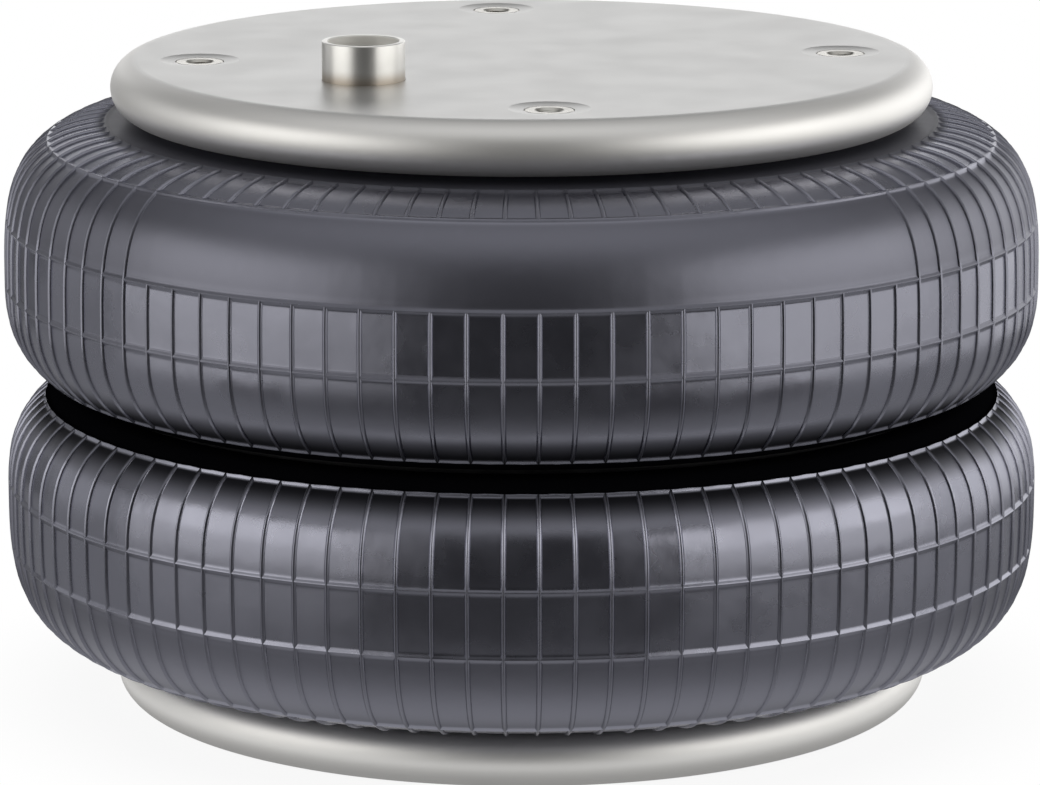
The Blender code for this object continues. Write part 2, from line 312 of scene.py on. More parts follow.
def cell_turns():
    """Angles round the bellows: a rib, the sides of the flat cell beside it and its middle."""
    middles = FRONT + RIB_STEP * np.arange(RIB_COUNT)
    shares = np.array([-0.5, -CELL_SIDE, 0, CELL_SIDE])
    return np.add.outer(middles, RIB_STEP * shares).ravel()


def cell_factors(turn, lengths, upper):
    """Factors on the radius that make the skin flat from rib to rib, round in the bare band."""
    points = skin()
    waist, _, low, high, collar = line_places(points, along(points))
    aside = (turn - FRONT + RIB_STEP / 2) % RIB_STEP - RIB_STEP / 2
    dip = 1 - math.cos(RIB_STEP / 2) / np.cos(aside)
    ribbed = np.tile((lengths > waist) & (lengths < collar), (len(turn), 1))
    if upper:
        ahead = (turn - FRONT + math.pi) % (2 * math.pi) - math.pi
        bare = np.abs(ahead) < (BARE_COUNT + 1) / 2 * RIB_STEP
        ribbed[bare] &= (lengths < low) | (lengths > high)
    return 1 - dip[:, None] * ribbed


def plate_section():
    centre = (BEAD_CIRCLE, CURL_RADIUS)
    flat = BEAD_CIRCLE - FLAT_INSET
    curl = arc(centre, CURL_RADIUS, math.pi / 2, LIP_ANGLE, 28)
    back = arc(centre, CURL_RADIUS - PLATE_THICKNESS, LIP_ANGLE, math.pi / 2, 28)
    return (
        [(0, 0), (flat, 0)]
        + curl
        + back
        + [(flat, PLATE_THICKNESS), (0, PLATE_THICKNESS)]
    )


def nut_section():
    face = DIMPLE_DEPTH
    under = PLATE_THICKNESS + FIT
    seat = under + NUT_SHOULDER_HEIGHT
    end = NUT_LENGTH - NUT_BOTTOM
    return [
        (0, end),
        (TAPPED_RADIUS, end),
        (TAPPED_RADIUS, face + TAPPED_CHAMFER),
        (TAPPED_RADIUS + TAPPED_CHAMFER, face),
        (NUT_BODY_RADIUS - NUT_EDGE, face),
        (NUT_BODY_RADIUS, face + NUT_EDGE),
        (NUT_BODY_RADIUS, under),
        (NUT_SHOULDER_RADIUS, under),
        (NUT_SHOULDER_RADIUS, seat),
        (NUT_BODY_RADIUS, seat),
        (NUT_BODY_RADIUS, NUT_LENGTH - NUT_EDGE),
        (NUT_BODY_RADIUS - NUT_EDGE, NUT_LENGTH),
        (0, NUT_LENGTH),
    ]


def inlet_section():
    top = HEIGHT - INLET_TOP
    tail = HEIGHT - INLET_BOTTOM
    under = PLATE_THICKNESS + FIT
    collar = under + INLET_COLLAR_HEIGHT
    outside = arc(
        (INLET_RADIUS - INLET_CHAMFER, top + INLET_CHAMFER),
        INLET_CHAMFER,
        math.pi / 2,
        0,
        4,
    )
    return [
        (INLET_BORE_RADIUS, tail),
        (INLET_BORE_RADIUS, top + INLET_CHAMFER),
        (INLET_BORE_RADIUS + INLET_CHAMFER, top),
        *outside,
        (INLET_RADIUS, under),
        (INLET_COLLAR_RADIUS, under),
        (INLET_COLLAR_RADIUS, collar),
        (INLET_RADIUS, collar),
        (INLET_RADIUS, tail),
    ]


def hole_section(radius, dimple=False):
    """Cutter for a hole through the plate, with or without a dimple pressed in round it."""
    past = PLATE_THICKNESS
    points = [(0, -past)]
    if dimple:
        points += [(DIMPLE_RADIUS + DIMPLE_MARGIN, -past), (DIMPLE_RADIUS + DIMPLE_MARGIN, 0)]
        points += [(DIMPLE_RADIUS, DIMPLE_STEP)]
        points += [(radius + DIMPLE_FOOT, DIMPLE_DEPTH - DIMPLE_FALL), (radius, DIMPLE_DEPTH)]
    else:
        points += [(radius, -past)]
    return points + [(radius, 2 * past), (0, 2 * past)]


# Meshes


def object_from(name, mesh):
    piece = bpy.data.objects.new(name, mesh)
    bpy.context.scene.collection.objects.link(piece)
    return piece


def round_turns(segments):
    return np.arange(segments) * 2 * math.pi / segments


def revolve(name, section, turn, place=(0, 0), upper=True, factors=1.0):
    """A closed section turned about a vertical line through place, at the upper or lower end."""
    r = np.array([p[0] for p in section])
    d = np.array([p[1] for p in section])
    z = HEIGHT - d if upper else d
    segments = len(turn)
    x = place[0] + np.outer(np.cos(turn), r) * factors
    y = place[1] + np.outer(np.sin(turn), r) * factors
    verts = np.stack([x, y, np.broadcast_to(z, x.shape)], axis=-1).reshape(-1, 3)
    count = len(section)
    k = np.arange(count)
    step = np.arange(segments)[:, None] * count
    ahead = np.roll(step, -1, axis=0)
    following = (k + 1) % count
    quads = np.stack(
        np.broadcast_arrays(step + k, step + following, ahead + following, ahead + k),
        axis=-1,
    )
    on_axis = (r < 1e-9) & (r[following] < 1e-9)
    quads = quads[:, ~on_axis].reshape(-1, 4)
    mesh = bpy.data.meshes.new(name)
    mesh.from_pydata(verts.tolist(), [], quads.tolist())
    worked = bmesh.new()
    worked.from_mesh(mesh)
    bmesh.ops.remove_doubles(worked, verts=worked.verts, dist=1e-7)
    if worked.calc_volume(signed=True) < 0:
        bmesh.ops.reverse_faces(worked, faces=worked.faces)
    worked.to_mesh(mesh)
    worked.free()
    mesh.shade_smooth()
    mesh.set_sharp_from_angle(angle=math.radians(40))
    return mesh


def merged(name, meshes):
    """Several meshes as one, which are then removed."""
    worked = bmesh.new()
    for mesh in meshes:
        worked.from_mesh(mesh)
    whole = bpy.data.meshes.new(name)
    worked.to_mesh(whole)
    worked.free()
    for material in meshes[0].materials:
        whole.materials.append(material)
    for mesh in meshes:
        bpy.data.meshes.remove(mesh)
    return whole


def baked(piece):
    """The mesh that a piece's modifiers leave. The piece itself is removed."""
    bpy.context.view_layer.update()
    evaluated = piece.evaluated_get(bpy.context.evaluated_depsgraph_get())
    mesh = bpy.data.meshes.new_from_object(evaluated)
    bpy.data.objects.remove(piece, do_unlink=True)
    return mesh


def dressed(name, mesh, material):
    """A finished piece at the origin with its material."""
    mesh.name = name
    mesh.materials.clear()
    mesh.materials.append(material)
    return object_from(name, mesh)


# Geometry Nodes


def new_tree(name, inputs):
    """A geometry tree with named inputs. Returns it with its input and output nodes."""
    tree = bpy.data.node_groups.new(name, "GeometryNodeTree")
    tree.interface.new_socket("Geometry", in_out="INPUT", socket_type="NodeSocketGeometry")
    for label, kind in inputs:
        tree.interface.new_socket(label, in_out="INPUT", socket_type=kind)
    tree.interface.new_socket("Geometry", in_out="OUTPUT", socket_type="NodeSocketGeometry")
    return tree, tree.nodes.new("NodeGroupInput"), tree.nodes.new("NodeGroupOutput")


def run_tree(tree, mesh, **values):
    """The plain mesh that a tree makes of a mesh, with its inputs set by name."""
    piece = object_from("worked", mesh)
    modifier = piece.modifiers.new("made", "NODES")
    modifier.node_group = tree
    for item in tree.interface.items_tree:
        label = item.name.replace(" ", "_").lower()
        if item.in_out == "INPUT" and label in values:
            modifier[item.identifier] = values[label]
    return baked(piece)


def feed(tree, socket, value):
    """Give a socket a number or another node's output."""
    if isinstance(value, (int, float)):
        socket.default_value = value
    else:
        tree.links.new(value, socket)


def math_node(tree, operation, a, b):
    node = tree.nodes.new("ShaderNodeMath")
    node.operation = operation
    for socket, value in zip(node.inputs, (a, b)):
        feed(tree, socket, value)
    return node.outputs[0]


def turned_copies(tree, points, shape, first, step, material):
    """Instances of a shape on points, each turned a step further about Z, made real."""
    links = tree.links
    index = tree.nodes.new("GeometryNodeInputIndex").outputs[0]
    turn = math_node(tree, "ADD", first, math_node(tree, "MULTIPLY", index, step))
    angles = tree.nodes.new("ShaderNodeCombineXYZ")
    links.new(turn, angles.inputs["Z"])
    copies = tree.nodes.new("GeometryNodeInstanceOnPoints")
    links.new(points, copies.inputs["Points"])
    links.new(shape, copies.inputs["Instance"])
    links.new(angles.outputs[0], copies.inputs["Rotation"])
    real = tree.nodes.new("GeometryNodeRealizeInstances")
    links.new(copies.outputs[0], real.inputs[0])
    painted = tree.nodes.new("GeometryNodeSetMaterial")
    links.new(real.outputs[0], painted.inputs["Geometry"])
    links.new(material, painted.inputs["Material"])
    return painted.outputs[0]


def rib_tree():
    """Low ridges along a line of edges in the XZ plane, repeated about Z."""
    tree, given, result = new_tree(
        "meridian_ribs",
        (
            ("Count", "NodeSocketInt"),
            ("First Angle", "NodeSocketFloat"),
            ("Step", "NodeSocketFloat"),
            ("Width", "NodeSocketFloat"),
            ("Height", "NodeSocketFloat"),
            ("Round", "NodeSocketFloat"),
            ("Material", "NodeSocketMaterial"),
        ),
    )
    links = tree.links
    line = tree.nodes.new("GeometryNodeMeshToCurve")
    links.new(given.outputs["Geometry"], line.inputs["Mesh"])
    kite = tree.nodes.new("GeometryNodeCurvePrimitiveQuadrilateral")
    kite.mode = "KITE"
    links.new(given.outputs["Width"], kite.inputs["Width"])
    links.new(given.outputs["Height"], kite.inputs["Bottom Height"])
    links.new(given.outputs["Height"], kite.inputs["Top Height"])
    profile = tree.nodes.new("GeometryNodeFilletCurve")
    profile.mode = "POLY"
    links.new(kite.outputs[0], profile.inputs["Curve"])
    links.new(given.outputs["Round"], profile.inputs["Radius"])
    rib = tree.nodes.new("GeometryNodeCurveToMesh")
    rib.inputs["Fill Caps"].default_value = True
    links.new(line.outputs[0], rib.inputs["Curve"])
    links.new(profile.outputs[0], rib.inputs["Profile Curve"])
    points = tree.nodes.new("GeometryNodePoints")
    links.new(given.outputs["Count"], points.inputs["Count"])
    made = turned_copies(
        tree,
        points.outputs[0],
        rib.outputs[0],
        given.outputs["First Angle"],
        given.outputs["Step"],
        given.outputs["Material"],
    )
    links.new(made, result.inputs[0])
    return tree


def bolt_circle_tree():
    """Copies of a shape at the points of a circle about Z."""
    tree, given, result = new_tree(
        "bolt_circle",
        (
            ("Count", "NodeSocketInt"),
            ("Circle Radius", "NodeSocketFloat"),
            ("Step", "NodeSocketFloat"),
            ("Material", "NodeSocketMaterial"),
        ),
    )
    circle = tree.nodes.new("GeometryNodeMeshCircle")
    tree.links.new(given.outputs["Count"], circle.inputs["Vertices"])
    tree.links.new(given.outputs["Circle Radius"], circle.inputs["Radius"])
    made = turned_copies(
        tree,
        circle.outputs[0],
        given.outputs["Geometry"],
        0.0,
        given.outputs["Step"],
        given.outputs["Material"],
    )
    tree.links.new(made, result.inputs[0])
    return tree


def thread_tree():
    """A helical ridge at each of the mesh's points, for the inside of a tapped hole."""
    tree, given, result = new_tree(
        "screw_thread",
        (
            ("Turns", "NodeSocketFloat"),
            ("Helix Radius", "NodeSocketFloat"),
            ("Helix Height", "NodeSocketFloat"),
            ("Ridge", "NodeSocketFloat"),
            ("Material", "NodeSocketMaterial"),
        ),
    )
    links = tree.links
    helix = tree.nodes.new("GeometryNodeCurveSpiral")
    helix.inputs["Resolution"].default_value = 40
    links.new(given.outputs["Turns"], helix.inputs["Rotations"])
    links.new(given.outputs["Helix Radius"], helix.inputs["Start Radius"])
    links.new(given.outputs["Helix Radius"], helix.inputs["End Radius"])
    links.new(given.outputs["Helix Height"], helix.inputs["Height"])
    profile = tree.nodes.new("GeometryNodeCurvePrimitiveCircle")
    profile.inputs["Resolution"].default_value = 4
    links.new(given.outputs["Ridge"], profile.inputs["Radius"])
    ridge = tree.nodes.new("GeometryNodeCurveToMesh")
    ridge.inputs["Fill Caps"].default_value = True
    links.new(helix.outputs[0], ridge.inputs["Curve"])
    links.new(profile.outputs[0], ridge.inputs["Profile Curve"])
    made = turned_copies(
        tree,
        given.outputs["Geometry"],
        ridge.outputs[0],
        0.0,
        0.0,
        given.outputs["Material"],
    )
    links.new(made, result.inputs[0])
    return tree


# Materials


def socket_group(name, inputs, outputs):
    """An empty shader group with named sockets: (name, kind, value) and (name, kind)."""
    group = bpy.data.node_groups.new(name, "ShaderNodeTree")
    for label, kind, value in inputs:
        socket = group.interface.new_socket(label, in_out="INPUT", socket_type=kind)
        socket.default_value = value
    for label, kind in outputs:
        group.interface.new_socket(label, in_out="OUTPUT", socket_type=kind)
    return group, group.nodes.new("NodeGroupInput"), group.nodes.new("NodeGroupOutput")


def noise(tree, vector, scale, detail, roughness=0.55):
    node = tree.nodes.new("ShaderNodeTexNoise")
    node.inputs["Detail"].default_value = detail
    node.inputs["Roughness"].default_value = roughness
    tree.links.new(vector, node.inputs["Vector"])
    feed(tree, node.inputs["Scale"], scale)
    return node.outputs["Fac"]


def between(tree, value, low, high, at_low=0, at_high=1):
    """A smooth step from at_low to at_high as the value goes from low to high."""
    step = tree.nodes.new("ShaderNodeMapRange")
    step.interpolation_type = "SMOOTHSTEP"
    feed(tree, step.inputs["From Min"], low)
    feed(tree, step.inputs["From Max"], high)
    feed(tree, step.inputs["To Min"], at_low)
    feed(tree, step.inputs["To Max"], at_high)
    tree.links.new(value, step.inputs["Value"])
    return step.outputs["Result"]


def own_place(tree):
    """Each point's place on the piece."""
    return tree.nodes.new("ShaderNodeTexCoord").outputs["Object"]


def parts_of(tree, vector):
    """A vector's X, Y and Z."""
    apart = tree.nodes.new("ShaderNodeSeparateXYZ")
    tree.links.new(vector, apart.inputs[0])
    return apart.outputs


def patches_group():
    """Soft patches over the surface, from 0 to 1, for bloom, handling and stain."""
    group, given, result = socket_group(
        "soft_patches",
        (
            ("Scale", "NodeSocketFloat", 20.0),
            ("From", "NodeSocketFloat", 0.4),
            ("To", "NodeSocketFloat", 0.7),
        ),
        (("Patches", "NodeSocketFloat"),),
    )
    value = noise(group, own_place(group), given.outputs["Scale"], 4)
    patches = between(group, value, given.outputs["From"], given.outputs["To"])
    group.links.new(patches, result.inputs["Patches"])
    return group


def grain_group():
    """Fine grain as a height, mixed with a coarser one."""
    coarser = 0.22
    group, given, result = socket_group(
        "fine_grain",
        (
            ("Scale", "NodeSocketFloat", 1500.0),
            ("Coarse Share", "NodeSocketFloat", 0.4),
        ),
        (("Height", "NodeSocketFloat"),),
    )
    place = own_place(group)
    fine = noise(group, place, given.outputs["Scale"], 2)
    coarse_scale = math_node(group, "MULTIPLY", given.outputs["Scale"], coarser)
    coarse = noise(group, place, coarse_scale, 2)
    mix = group.nodes.new("ShaderNodeMix")
    group.links.new(given.outputs["Coarse Share"], mix.inputs[0])
    group.links.new(fine, mix.inputs[2])
    group.links.new(coarse, mix.inputs[3])
    group.links.new(mix.outputs[0], result.inputs["Height"])
    return group


def radius_about(group, place, given):
    """Distance from the vertical line through the group's Centre X, Centre Y."""
    x = math_node(group, "SUBTRACT", place["X"], given.outputs["Centre X"])
    y = math_node(group, "SUBTRACT", place["Y"], given.outputs["Centre Y"])
    squares = math_node(
        group, "ADD", math_node(group, "MULTIPLY", x, x), math_node(group, "MULTIPLY", y, y)
    )
    return math_node(group, "SQRT", squares, 0.0)


def rings_group():
    """Turned or drawn marks: fine rings round a vertical axis at Centre X, Centre Y."""
    group, given, result = socket_group(
        "turning_rings",
        (
            ("Centre X", "NodeSocketFloat", 0.0),
            ("Centre Y", "NodeSocketFloat", 0.0),
            ("Scale", "NodeSocketFloat", 600.0),
        ),
        (("Height", "NodeSocketFloat"),),
    )
    place = parts_of(group, own_place(group))
    across = group.nodes.new("ShaderNodeCombineXYZ")
    group.links.new(radius_about(group, place, given), across.inputs["X"])
    group.links.new(place["Z"], across.inputs["Y"])
    value = noise(group, across.outputs[0], given.outputs["Scale"], 3)
    group.links.new(value, result.inputs["Height"])
    return group


def zone_group():
    """A mask by height above or below the middle and by radius about Centre X, Centre Y.

    Either one lets all through when its two values are left alone.
    """
    group, given, result = socket_group(
        "end_zone",
        (
            ("Centre X", "NodeSocketFloat", 0.0),
            ("Centre Y", "NodeSocketFloat", 0.0),
            ("Height From", "NodeSocketFloat", 0.0),
            ("Height To", "NodeSocketFloat", 0.001),
            ("Radius From", "NodeSocketFloat", 0.0),
            ("Radius To", "NodeSocketFloat", 0.001),
        ),
        (("Mask", "NodeSocketFloat"),),
    )
    place = parts_of(group, own_place(group))
    above = math_node(group, "SUBTRACT", place["Z"], MIDDLE)
    measures = (
        ("Height", math_node(group, "ABSOLUTE", above, 0.0)),
        ("Radius", radius_about(group, place, given)),
    )
    masks = [
        between(group, value, given.outputs[label + " From"], given.outputs[label + " To"])
        for label, value in measures
    ]
    group.links.new(math_node(group, "MULTIPLY", *masks), result.inputs["Mask"])
    return group


def lean_group():
    """How far the skin faces up, from From to To, where a negative value faces down."""
    group, given, result = socket_group(
        "skin_lean",
        (("From", "NodeSocketFloat", 0.0), ("To", "NodeSocketFloat", 1.0)),
        (("Mask", "NodeSocketFloat"),),
    )
    normal = group.nodes.new("ShaderNodeTexCoord").outputs["Normal"]
    up = parts_of(group, normal)["Z"]
    mask = between(group, up, given.outputs["From"], given.outputs["To"])
    group.links.new(mask, result.inputs["Mask"])
    return group


PATCHES = patches_group()
GRAIN = grain_group()
RINGS = rings_group()
ZONE = zone_group()
LEAN = lean_group()


class Finish:
    """A material with one Principled shader and the nodes that feed it."""

    def __init__(self, name, **plain):
        self.material = bpy.data.materials.new(name)
        self.material.use_nodes = True
        self.tree = self.material.node_tree
        self.shader = self.tree.nodes["Principled BSDF"]
        for label, value in plain.items():
            self.shader.inputs[label.replace("_", " ")].default_value = value
        self.height = None

    def group(self, group, **values):
        node = self.tree.nodes.new("ShaderNodeGroup")
        node.node_tree = group
        for label, value in values.items():
            node.inputs[label.replace("_", " ")].default_value = value
        return node.outputs[0]

    def colours(self, share, first, second):
        """Base Color runs from the first colour to the second by share."""
        mix = self.tree.nodes.new("ShaderNodeMix")
        mix.data_type = "RGBA"
        self.tree.links.new(share, mix.inputs[0])
        mix.inputs[6].default_value = (*first, 1)
        mix.inputs[7].default_value = (*second, 1)
        self.tree.links.new(mix.outputs[2], self.shader.inputs["Base Color"])
        return mix

    def over(self, mix, share, colour):
        """Another colour over the mix, by share."""
        top = self.tree.nodes.new("ShaderNodeMix")
        top.data_type = "RGBA"
        self.tree.links.new(share, top.inputs[0])
        self.tree.links.new(mix.outputs[2], top.inputs[6])
        top.inputs[7].default_value = (*colour, 1)
        self.tree.links.new(top.outputs[2], self.shader.inputs["Base Color"])
        return top

    def level(self, label, share, start, end):
        """An input of the shader runs from start, a value or an output, to end by share."""
        spread = self.tree.nodes.new("ShaderNodeMapRange")
        feed(self.tree, spread.inputs["To Min"], start)
        feed(self.tree, spread.inputs["To Max"], end)
        self.tree.links.new(share, spread.inputs["Value"])
        self.tree.links.new(spread.outputs["Result"], self.shader.inputs[label])
        return spread.outputs["Result"]

    def bump(self, height, strength, distance):
        """A bump, laid over the one before it."""
        bump = self.tree.nodes.new("ShaderNodeBump")
        bump.inputs["Strength"].default_value = strength
        bump.inputs["Distance"].default_value = distance
        self.tree.links.new(height, bump.inputs["Height"])
        if self.height is not None:
            self.tree.links.new(self.height, bump.inputs["Normal"])
        self.height = bump.outputs["Normal"]
        self.tree.links.new(self.height, self.shader.inputs["Normal"])


def moulded_rubber(name, side):
    """Black moulded rubber with a cold sheen, cloudy where it has been handled.

    Side is 1 for the upper convolution and -1 for the lower one, so that a part of the skin
    is matt towards the plate, and towards the waist matt too, with a darker colour and no
    gloss there that are painted shade in the groove. Those parts go by the way the skin
    faces, which keeps them in place when the bellows is drawn out.
    """
    finish = Finish(
        name,
        IOR=2.33,
        Specular_Tint=(0.83, 0.84, 1.0, 1),
        Coat_Roughness=0.2,
    )
    bloom = finish.group(PATCHES, Scale=14.0, From=0.42, To=0.72)
    mix = finish.colours(bloom, (0.006, 0.006, 0.009), (0.011, 0.011, 0.016))
    dust = finish.group(PATCHES, Scale=160.0, From=0.55, To=0.85)
    mix = finish.over(mix, dust, (0.018, 0.018, 0.024))
    handled = finish.group(PATCHES, Scale=34.0, From=0.3, To=0.7)
    # painted shade beside the plate: the gloss is taken away where the plate's rim overhangs the
    # rubber
    collar = finish.group(ZONE, Radius_From=0.150, Radius_To=0.146)
    # painted shade in the groove: where the skin faces the waist it gets a darker colour and,
    # further on, no gloss
    groove = finish.group(LEAN, From=-0.43 * side, To=-0.82 * side)
    finish.over(mix, groove, (0.003, 0.003, 0.004))
    # less gloss between the outer mould lines, where the bare band lies
    outside = finish.group(ZONE, Radius_From=0.165, Radius_To=0.168)
    plateward = finish.group(LEAN, From=0.09 * side, To=0.16 * side)
    band = math_node(finish.tree, "MULTIPLY", outside, plateward)
    # no gloss in the groove, and little beside the plate: painted shade there, on a rougher
    # surface
    shade_beside_plate = math_node(finish.tree, "MULTIPLY", collar, 0.6)
    matt = math_node(finish.tree, "MAXIMUM", shade_beside_plate, groove)
    satin = finish.level("Roughness", handled, 0.20, 0.34)
    satin = finish.level("Roughness", band, satin, 0.42)
    finish.level("Roughness", matt, satin, 0.9)
    sheen = finish.level("Specular IOR Level", band, 1.0, 0.68)
    finish.level("Specular IOR Level", matt, sheen, 0.0)
    coat = finish.level("Coat Weight", band, 0.25, 0.05)
    finish.level("Coat Weight", matt, coat, 0.0)
    finish.bump(finish.group(GRAIN, Scale=75.0, Coarse_Share=0.6), 0.2, 0.0022)
    finish.bump(finish.group(GRAIN, Scale=1400.0), 0.12, 0.0002)
    return finish.material


def plated_sheet():
    """Satin plated sheet steel with faint cloudy marks, more matt on its curl, where a paler
    colour is a painted highlight.
    """
    finish = Finish("plated_sheet", Metallic=1.0)
    cloud = finish.group(PATCHES, Scale=18.0, From=0.35, To=0.75)
    mix = finish.colours(cloud, (0.64, 0.637, 0.628), (0.68, 0.677, 0.668))
    # painted highlight: the curl gets a paler colour than the flat so that the rim shines
    # brighter
    curl = finish.group(ZONE, Radius_From=BEAD_CIRCLE, Radius_To=BEAD_CIRCLE + 0.004)
    finish.over(mix, curl, (0.90, 0.89, 0.87))
    handled = finish.group(PATCHES, Scale=45.0, From=0.2, To=0.85)
    even = finish.level("Roughness", handled, 0.36, 0.40)
    finish.level("Roughness", curl, even, 0.5)
    finish.bump(finish.group(GRAIN, Scale=2200.0), 0.10, 0.00008)
    return finish.material


def plated_nut():
    finish = Finish("plated_nut", Metallic=1.0)
    cloud = finish.group(PATCHES, Scale=220.0, From=0.35, To=0.75)
    finish.colours(cloud, (0.52, 0.50, 0.46), (0.66, 0.65, 0.61))
    finish.level("Roughness", cloud, 0.26, 0.36)
    finish.bump(finish.group(RINGS, Scale=4000.0), 0.15, 0.00005)
    return finish.material


def turned_steel():
    """Bright turned steel of the inlet boss, browner at its foot, and paler in its bore as
    painted light on the inner wall.
    """
    finish = Finish("turned_steel", Metallic=1.0)
    stain = finish.group(PATCHES, Scale=90.0, From=0.45, To=0.9)
    mix = finish.colours(stain, (0.87, 0.86, 0.83), (0.79, 0.78, 0.74))
    foot = finish.group(ZONE, Height_From=MIDDLE + 0.005, Height_To=MIDDLE)
    mix = finish.over(mix, foot, (0.50, 0.44, 0.37))
    turned = finish.level("Roughness", stain, 0.34, 0.38)
    # painted light in the bore: a paler colour brightens its inner wall
    inside = finish.group(
        ZONE,
        Centre_X=INLET_X,
        Centre_Y=INLET_Y,
        Radius_From=INLET_BORE_RADIUS + 0.0004,
        Radius_To=INLET_BORE_RADIUS + 0.0001,
    )
    finish.over(mix, inside, (0.92, 0.91, 0.88))
    finish.level("Roughness", inside, turned, 0.75)
    rings = finish.group(RINGS, Centre_X=INLET_X, Centre_Y=INLET_Y, Scale=5000.0)
    finish.bump(rings, 0.18, 0.00005)
    return finish.material


def drawn_wire():
    finish = Finish("drawn_wire", Metallic=1.0)
    stain = finish.group(PATCHES, Scale=120.0, From=0.4, To=0.8)
    finish.colours(stain, (0.46, 0.44, 0.40), (0.34, 0.32, 0.29))
    finish.level("Roughness", stain, 0.35, 0.5)
    return finish.material


def coated_hoop():
    """Black coated steel ring in the waist."""
    finish = Finish("coated_hoop")
    worn = finish.group(PATCHES, Scale=60.0, From=0.45, To=0.8)
    finish.colours(worn, (0.005, 0.005, 0.006), (0.014, 0.014, 0.016))
    finish.level("Roughness", worn, 0.5, 0.62)
    finish.bump(finish.group(GRAIN, Scale=1800.0), 0.10, 0.0001)
    return finish.material


# Pieces


def line_mesh(points):
    mesh = bpy.data.meshes.new("line")
    mesh.from_pydata(points, [(k, k + 1) for k in range(len(points) - 1)], [])
    return mesh


def rib_line(start, end, upper):
    """A rib's centre line between two arc lengths on the skin."""
    points = skin()
    lengths = along(points)
    steps = max(3, round((end - start) / RIB_SEGMENT))
    stops = np.linspace(start, end, steps)
    r = np.interp(stops, lengths, points[:, 0])
    d = np.interp(stops, lengths, points[:, 1])
    dr, dd = np.gradient(r, stops), np.gradient(d, stops)
    size = np.hypot(dr, dd)
    r, d = r + dd / size * RIB_SINK, d - dr / size * RIB_SINK
    z = HEIGHT - d if upper else d
    return line_mesh([(a, 0, b) for a, b in zip(r.tolist(), z.tolist())])


def ribs(name, upper, material):
    """The ribs of one convolution. The upper one leaves a bare band at its front."""
    tree = rib_tree()
    points = skin()
    lengths = along(points)
    waist, _, low, high, collar = line_places(points, lengths)
    bare = BARE_COUNT if upper else 0
    first = FRONT - (bare - 1) / 2 * RIB_STEP
    runs = [(RIB_COUNT - bare, first + bare * RIB_STEP, waist, collar)]
    if bare:
        runs += [(bare, first, waist, low), (bare, first, high, collar)]
    made = [
        run_tree(
            tree,
            rib_line(start, end, upper),
            count=count,
            first_angle=angle,
            step=RIB_STEP,
            width=2 * RIB_HALF_WIDTH,
            height=RIB_HEIGHT,
            round=RIB_ROUND,
            material=material,
        )
        for count, angle, start, end in runs
    ]
    mesh = merged(name, made)
    mesh.shade_smooth()
    mesh.set_sharp_from_angle(angle=math.radians(50))
    return mesh


def bead_plate(name, upper, material):
    pressed = revolve(name, plate_section(), round_turns(PLATE_FACETS), upper=upper)
    plate = object_from("worked", pressed)
    hole = NUT_BODY_RADIUS + HOLE_FIT
    cutters = []
    for k in range(NUT_COUNT):
        angle = 2 * math.pi * k / NUT_COUNT
        place = (NUT_CIRCLE * math.cos(angle), NUT_CIRCLE * math.sin(angle))
        section = hole_section(hole, dimple=True)
        cutters.append(revolve("hole", section, round_turns(NUT_FACETS), place, upper))
    if upper:
        section = hole_section(INLET_RADIUS + HOLE_FIT)
        around = round_turns(INLET_HOLE_FACETS)
        cutters.append(revolve("hole", section, around, (INLET_X, INLET_Y), upper))
    cutter = object_from("cutter", merged("cutter", cutters))
    cut = plate.modifiers.new("holes", "BOOLEAN")
    cut.operation = "DIFFERENCE"
    cut.solver = "EXACT"
    cut.object = cutter
    mesh = baked(plate)
    bpy.data.objects.remove(cutter, do_unlink=True)
    mesh.set_sharp_from_angle(angle=math.radians(30))
    for face in mesh.polygons:
        face.use_smooth = abs(face.normal.z) < 0.9999
    return dressed(name, mesh, material)


def blind_nuts(name, upper, material, nodes):
    """The four nuts of a plate and their threads, as one piece."""
    mouth = DIMPLE_DEPTH + TAPPED_CHAMFER
    turns = (NUT_LENGTH - NUT_BOTTOM - mouth) / NUT_PITCH - 0.5
    base = HEIGHT - mouth - turns * NUT_PITCH if upper else mouth
    start = bpy.data.meshes.new("start")
    start.from_pydata([(0, 0, base)], [], [])
    thread = run_tree(
        thread_tree(),
        start,
        turns=turns,
        helix_radius=TAPPED_RADIUS + NUT_THREAD * THREAD_SINK,
        helix_height=turns * NUT_PITCH,
        ridge=NUT_THREAD,
        material=material,
    )
    body = revolve("nut", nut_section(), round_turns(NUT_FACETS), upper=upper)
    nut = merged("nut", [body, thread])
    mesh = run_tree(
        bolt_circle_tree(),
        nut,
        count=NUT_COUNT,
        circle_radius=NUT_CIRCLE,
        step=2 * math.pi / NUT_COUNT,
        material=material,
    )
    mesh.shade_smooth()
    mesh.set_sharp_from_angle(angle=math.radians(35))
    piece = dressed(name, mesh, material)
    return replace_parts(piece, *nodes)


def air_inlet(material):
    turns = (INLET_TOP - INLET_BOTTOM - INLET_COUNTERBORE) / INLET_PITCH - 1
    start = bpy.data.meshes.new("start")
    start.from_pydata([(INLET_X, INLET_Y, INLET_BOTTOM + INLET_CHAMFER)], [], [])
    thread = run_tree(
        thread_tree(),
        start,
        turns=turns,
        helix_radius=INLET_BORE_RADIUS + INLET_THREAD * THREAD_SINK,
        helix_height=turns * INLET_PITCH,
        ridge=INLET_THREAD,
        material=material,
    )
    boss = revolve("boss", inlet_section(), round_turns(INLET_FACETS), (INLET_X, INLET_Y))
    mesh = merged("air_inlet_boss", [boss, thread])
    mesh.shade_smooth()
    mesh.set_sharp_from_angle(angle=math.radians(35))
    return dressed("air_inlet_boss", mesh, material)


sheet = plated_sheet()
nut_metal = plated_nut()
boss_metal = turned_steel()
wire = drawn_wire()
hoop_coat = coated_hoop()

